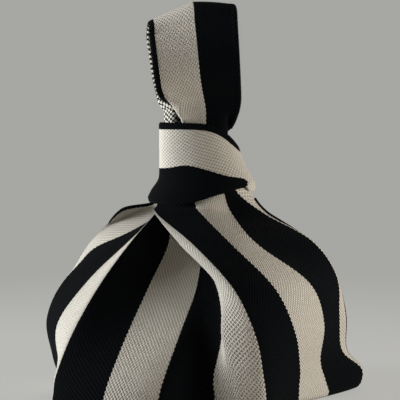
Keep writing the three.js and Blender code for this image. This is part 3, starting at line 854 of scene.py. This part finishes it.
def pouch_panel(name, node, first, last):
    """The wall of the pouch between two stripe numbers."""
    columns = round((last - first) * COLUMNS_PER_STRIPE)
    stripes = np.linspace(first, last, columns + 1)
    grid = pouch_grid(stripes, pouch_levels)
    fabric = np.zeros_like(grid)
    fabric[:, :, 0] = stripes * WALES
    fabric[:, :, 1] = run_up(grid, start=sum(LEVEL_STEPS[:COUNT_LEVEL])) / COURSE
    bulge = SIDE_BULGE * hump(pouch_levels, SIDE_LEVEL, SIDE_RUN)
    fabric[:, :, 2] = stripes + bulge[:, None] * hump(stripes, SIDE_STRIPE, SIDE_WIDTH)
    fold = hump(stripes, FOLD_STRIPE, FOLD_WIDTH) + LIT_OPENED * hump(stripes, LIT_STRIPE, LIT_WIDTH)
    closed = CLOSED_DEPTH * hump(stripes, CLOSED_STRIPE, CLOSED_WIDTH)
    opened = fold * smooth(FOLD_END - pouch_levels)[:, None] - closed
    pleated = (stripes - PLEATS[0]) % STRIPES < PLEATS[1] - PLEATS[0]
    thinned = PLEAT_THINNING * smooth((pouch_levels - SHOULDER_LEVEL) / PLEAT_LEVELS)
    thickness = 1 - pleated * thinned[:, None]
    obj = sheet_object(name, grid, fabric, pouch_knit, reverse, opened=opened, thickness=thickness)
    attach(obj, "bag")
    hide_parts(node)
    return obj


def pouch_line(stripe, low, high):
    """Points and outward directions up the pouch along one stripe number."""
    levels = pouch_levels[(pouch_levels >= low) & (pouch_levels <= high)]
    reach = 0.05
    grid = pouch_grid(np.array([stripe - reach, stripe, stripe + reach]), levels)
    outward = unit(np.cross(grid[:, 2] - grid[:, 0], np.gradient(grid[:, 1], axis=0)))
    return grid[:, 1], outward


def pouch_strip(name, node, stripe, low, high, width, material, lift=0, taper=None):
    """An edging up the pouch along one stripe number; lift is how far its upper half stands up."""
    path, outward = pouch_line(stripe, low, high)
    halves = np.linspace(0, 2, len(path))
    path[:, 2] += lift * smooth(halves)
    sunk = path - outward * KNIT * STRIP_SINK
    obj = strip_object(name, sunk, outward, width, SEAM_HEIGHT, material, taper=taper)
    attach(obj, "bag")
    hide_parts(node)
    return obj


front = pouch_panel("pouch_front", "front_panel", LEFT_SEAM, RIGHT_SEAM)
back = pouch_panel("pouch_back", "back_panel", RIGHT_SEAM, LEFT_SEAM + STRIPES)
pouch_edges = [
    pouch_strip("pouch_left_seam", "left_side_seam", LEFT_SEAM, SEAM_START, SHOULDER_LEVEL,
                SEAM_WIDTH, seam_knit),
    pouch_strip("pouch_right_seam", "right_side_seam", RIGHT_SEAM, SEAM_START, SHOULDER_LEVEL,
                SEAM_WIDTH, seam_knit),
    pouch_strip("left_shoulder_trim", "left_armhole_trim", LEFT_SEAM, SHOULDER_LEVEL, LEFT_TRIM_END,
                SHOULDER_TRIM_WIDTH, trim_knit, lift=2, taper=(0.15, 0.5)),
    pouch_strip("right_shoulder_trim", "right_armhole_trim", RIGHT_SEAM, SHOULDER_LEVEL, RIGHT_TRIM_END,
                SHOULDER_TRIM_WIDTH, trim_knit, lift=1.6),
]


# Base pieces

BASE_POINTS = 160
BASE_RINGS = 30
BASE_MIDDLE = 0.04  # share of the outline's size that the innermost ring has
BASE_GAP = 0.3  # between the base and the wall round it


def base_outline(inset, height):
    """A ring of points inside the foot of the pouch."""
    stripes = np.linspace(LEFT_SEAM, LEFT_SEAM + STRIPES, BASE_POINTS, endpoint=False)
    ring = pouch_grid(stripes, [0])[0]
    inward = unit(ring * np.array([-1, -1, 0]))
    ring = ring + inward * inset
    ring[:, 2] = height
    return ring


def base_sheet():
    shares = np.linspace(BASE_MIDDLE, 1, BASE_RINGS)
    outline = base_outline(BASE_GAP, KNIT)
    grid = np.array([outline * np.array([share, share, 1]) for share in shares[::-1]])
    fabric = np.stack([grid[..., 0] / WALE, grid[..., 1] / COURSE, grid[..., 0] / STRIPE], -1)
    return sheet_object("pouch_base", grid, fabric, reverse, pouch_knit, ring=True)


base = base_sheet()
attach(base, "bag")
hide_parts("base_panel")
hem_path = base_outline(SEAM_WIDTH / 2, KNIT + SEAM_HEIGHT / 2)
base_hem = strip_object("pouch_base_seam", hem_path, np.zeros_like(hem_path) + [0, 0, 1],
                        SEAM_WIDTH, SEAM_HEIGHT, seam_knit, closed=True)
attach(base_hem, "bag")
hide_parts("base_seam")


# Collar pieces

COLLAR_COLUMNS = 90  # of each half
COLLAR_ROWS = 40
LOWER_INSET = 0.3  # shares of the trim's width by which the band stops short of the collar's edges
UPPER_INSET = 0.4
RING_POINTS = 240
LOWER_TRIM_START = math.radians(34)  # the lower trim stops this far from the right
LOWER_TRIM_POINTS = 221
SEAM_POINTS = 60


def collar_half(name, first, last, node):
    """The band of the collar between two angles."""
    angles = np.linspace(first, last, COLLAR_COLUMNS + 1)
    around, up = np.meshgrid(angles, np.linspace(0, 1, COLLAR_ROWS + 1))
    tip = smooth((towards_right(around) - TIP_START) / (TIP_END - TIP_START))
    low = lower_edge(around) + TRIM_WIDTH * LOWER_INSET - TIP_DROP * tip
    high = upper_edge(around) - TRIM_WIDTH * UPPER_INSET
    height = mix(low, high, up)
    grid = collar_points(around, height)
    across = (height - lower_edge(around)) / WALE
    course = run_along(grid[COLLAR_ROWS // 2]) / COURSE + np.zeros_like(height)
    fabric = np.stack([across, course, collar_stripe(around, height)], -1)
    opened = COLLAR_OPENED - COLLAR_CLOSED * (2 * towards_right(around) - 1) ** 2
    obj = sheet_object(name, grid, fabric, handle_knit, reverse, opened=opened)
    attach(obj, "short_handle")
    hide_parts(node)
    return obj


def collar_strip(name, node, angles, heights, width, height, material, closed=False,
                 stripe=BLACK_STRIPE):
    """An edging on the collar through places given by angles and heights."""
    path = collar_points(angles, heights)
    reach = 0.02
    round_way = collar_points(angles + reach, heights) - collar_points(angles - reach, heights)
    up_way = collar_points(angles, heights + 1) - collar_points(angles, heights - 1)
    outward = unit(np.cross(round_way, up_way))
    obj = strip_object(name, path - outward * KNIT / 2, outward, width, height, material, closed, stripe)
    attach(obj, "short_handle")
    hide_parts(node)
    return obj


collar_front = collar_half("collar_front", math.pi, 2 * math.pi, "short_handle_front_band")
collar_back = collar_half("collar_back", 0, math.pi, "short_handle_back_band")
ring_angles = np.linspace(0, 2 * math.pi, RING_POINTS, endpoint=False)
lower_angles = np.linspace(LOWER_TRIM_START, 2 * math.pi - LOWER_TRIM_START, LOWER_TRIM_POINTS)
seam_heights = np.linspace(lower_edge(math.pi) + TRIM_WIDTH, upper_edge(math.pi) - TRIM_WIDTH, SEAM_POINTS)
seam_angles = np.full(SEAM_POINTS, math.pi)
collar_edges = [
    collar_strip("collar_upper_trim", "short_handle_upper_trim", ring_angles,
                 upper_edge(ring_angles) - COLLAR_TRIM_WIDTH / 2, COLLAR_TRIM_WIDTH, TRIM_HEIGHT,
                 trim_knit, closed=True),
    collar_strip("collar_lower_trim", "short_handle_lower_trim", lower_angles,
                 lower_edge(lower_angles) + TRIM_WIDTH / 2, TRIM_WIDTH, TRIM_HEIGHT,
                 trim_knit),
    collar_strip("collar_seam", "short_handle_seam", seam_angles, seam_heights,
                 SEAM_WIDTH, SEAM_HEIGHT, handle_knit,
                 stripe=collar_stripe(seam_angles, seam_heights)),
]


ROOT_COLUMNS = 30
ROOT_ROWS = 20


def collar_root(name, first, last, node):
    """Where the short handle leaves the shoulder, under the collar's tip; its top follows the collar."""
    angles = np.linspace(first, last, ROOT_COLUMNS + 1)
    around, up = np.meshgrid(angles, np.linspace(0, 1, ROOT_ROWS + 1))
    drop = ROOT_DROP * np.cos(around / ROOT_SPREAD * math.pi / 2)
    height = mix(lower_edge(around) - drop, lower_edge(around) + ROOT_DROP, up)
    inset = KNIT + ROOT_GAP + ROOT_LEAN * (1 - up)
    grid = collar_points(around, height, inset)
    fabric = np.stack([around * STRIPE / WALE, run_up(grid) / COURSE, CREAM_STRIPE + 0 * around], -1)
    obj = sheet_object(name, grid, fabric, handle_knit, reverse, opened=COLLAR_OPENED - COLLAR_CLOSED)
    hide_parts(node)
    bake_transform(obj)
    return obj


root_front = collar_root("collar_front_root", -ROOT_SPREAD, 0, "short_handle_front_root")
root_back = collar_root("collar_back_root", 0, ROOT_SPREAD, "short_handle_back_root")


# Long handle pieces

LEG_ROWS = 76
TURN_ROWS = 26
STRAP_COLUMNS = 63
TOP_SEAM_POINTS = 41
TOP_SEAM_RUN = 1 - LEG_SHARE - 0.03  # just before the back leg starts
BLACK_FROM = 3  # stripe number where the strap turns from cream to black
strap_runs = np.concatenate([
    np.linspace(0, LEG_SHARE, LEG_ROWS),
    np.linspace(LEG_SHARE, 1 - LEG_SHARE, TURN_ROWS)[1:-1],
    np.linspace(1 - LEG_SHARE, 1, LEG_ROWS),
])
TRIM_U = TRIM_WIDTH / LOOP_TOP_WIDTH  # half a trim's width, where the strap is 2 wide
STRAP_OPENED = -0.1  # the knit lies closer together on the strap than on the collar's front


def strap_across(u):
    """Distance across the strap from its left edge."""
    return (u + 1) / 2 * LOOP_TOP_WIDTH


def strap_stripe(u):
    return BLACK_FROM + (strap_across(u) - TRIM_WIDTH - CREAM_WIDTH) / STRIPE


def strap_sheet():
    u = np.linspace(-1 + TRIM_U, 1 - TRIM_U, STRAP_COLUMNS)
    grid = loop_grid(u, strap_runs)
    fabric = np.zeros_like(grid)
    fabric[:, :, 0] = strap_across(u) / WALE
    fabric[:, :, 1] = run_up(grid).mean(axis=1)[:, None] / COURSE
    fabric[:, :, 2] = strap_stripe(u)
    return sheet_object("loop_strap", grid, fabric, handle_knit, reverse, opened=STRAP_OPENED)


def strap_trim(name, node, u):
    reach = 0.02
    grid = loop_grid([u - reach, u, u + reach], strap_runs)
    outward = unit(np.cross(grid[:, 2] - grid[:, 0], np.gradient(grid[:, 1], axis=0)))
    obj = strip_object(name, grid[:, 1] - outward * KNIT / 2, outward, TRIM_WIDTH, TRIM_HEIGHT, trim_knit,
                       inside=reverse)
    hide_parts(node)
    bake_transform(obj)
    return obj


def strap_seam():
    """The linked seam across the strap, just behind the top of the loop."""
    u = np.linspace(-1 + 2 * TRIM_U, 1 - 2 * TRIM_U, TOP_SEAM_POINTS)
    reach = 0.01
    path = loop_row(u, TOP_SEAM_RUN)
    outward = unit(np.cross(np.gradient(path, axis=0), loop_row(u, TOP_SEAM_RUN + reach) - path))
    return strip_object("loop_top_seam", path - outward * KNIT * STRIP_SINK, outward,
                        SEAM_WIDTH, SEAM_HEIGHT, handle_knit, stripe=strap_stripe(u))


strap = strap_sheet()
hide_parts("long_handle_front_shank", "long_handle_back_shank",
            "long_handle_front_strap", "long_handle_back_strap")
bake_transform(strap)
strap_edges = [
    strap_trim("loop_left_trim", "long_handle_left_trim", -1 + TRIM_U),
    strap_trim("loop_right_trim", "long_handle_right_trim", 1 - TRIM_U),
]
top_seam = strap_seam()
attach(top_seam, "long_loop")
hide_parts("long_handle_top_seam")


# Light and floor, in metres

LIGHT_TARGET = Vector((0, 0, 0.12))


def area_light(name, place, size, power, colour):
    data = bpy.data.lights.new(name, "AREA")
    data.color = colour
    data.size = size
    data.energy = power
    light = add_object(name, data)
    light.location = place
    light.rotation_euler = (LIGHT_TARGET - Vector(place)).to_track_quat("-Z", "Y").to_euler()


FLOOR = rgb(0.22, 0.22, 0.215)  # of the floor near the bag, where shadows fall on it
BACKGROUND = rgb(0.385, 0.385, 0.368)  # glow of the floor and of what lies behind it
BOUNCE = rgb(0.27, 0.245, 0.215)  # of the floor as it lights the bag
NO_COLOUR = rgb(0, 0, 0)
FLOOR_SIZE = 8  # from its middle to its edges
FADE = (0.2, 0.8)  # the floor turns to the plain background between these distances from the bag
WORLD_COLOUR = rgb(1.0, 0.88, 0.76)
WORLD_LIGHT = 0.05


def shown_rays(n):
    """1 for rays that show the background, and 0 for those that carry its light to the bag."""
    path = n.new("LightPath").outputs
    direct = n.math("MAXIMUM", path["Is Camera Ray"], path["Is Glossy Ray"])
    return n.math("MAXIMUM", direct, path["Is Transmission Ray"])


def make_floor():
    n = Nodes(bpy.data.materials.new("floor"))
    place = n.new("NewGeometry")
    distance = n.new("VectorMath")
    distance.operation = "LENGTH"
    n.link(place.outputs["Position"], distance.inputs[0])
    far = n.ramp(distance.outputs["Value"], *FADE)
    shown = shown_rays(n)
    n.look("Base Color", n.colour(shown, BOUNCE, n.colour(far, FLOOR, NO_COLOUR)))
    n.look("Emission Color", BACKGROUND)
    n.look("Emission Strength", shown)
    n.look("Roughness", 0.95)
    n.look("Specular IOR Level", 0.0)
    corners = [(-1, -1), (1, -1), (1, 1), (-1, 1)]
    mesh = bpy.data.meshes.new("floor")
    mesh.from_pydata([(x * FLOOR_SIZE, y * FLOOR_SIZE, 0) for x, y in corners], [], [(0, 1, 2, 3)])
    mesh.materials.append(n.owner)
    floor = add_object("floor", mesh)


def make_world():
    world = bpy.data.worlds.new("world")
    n = Nodes(world)
    lit = n.tree.nodes["Background"]
    n.link(WORLD_COLOUR, lit.inputs["Color"])
    n.link(WORLD_LIGHT, lit.inputs["Strength"])
    seen = n.new("Background", Color=BACKGROUND)
    both = n.new("MixShader")
    n.link(shown_rays(n), both.inputs[0])
    n.link(lit.outputs[0], both.inputs[1])
    n.link(seen.outputs[0], both.inputs[2])
    n.link(both.outputs[0], n.tree.nodes["World Output"].inputs["Surface"])
    bpy.context.scene.world = world


make_floor()
make_world()
area_light("key", (-1.6, -0.12, 0.2), size=0.6, power=43, colour=(0.97, 1.0, 1.03))
area_light("right_fill", (0.63, -0.2, 0.03), size=0.4, power=5.6, colour=(1.0, 0.96, 0.9))
area_light("top_fill", (0.0, 0.2, 1.8), size=0.8, power=4, colour=(1.0, 0.95, 0.88))
bpy.context.scene.view_settings.view_transform = "Standard"
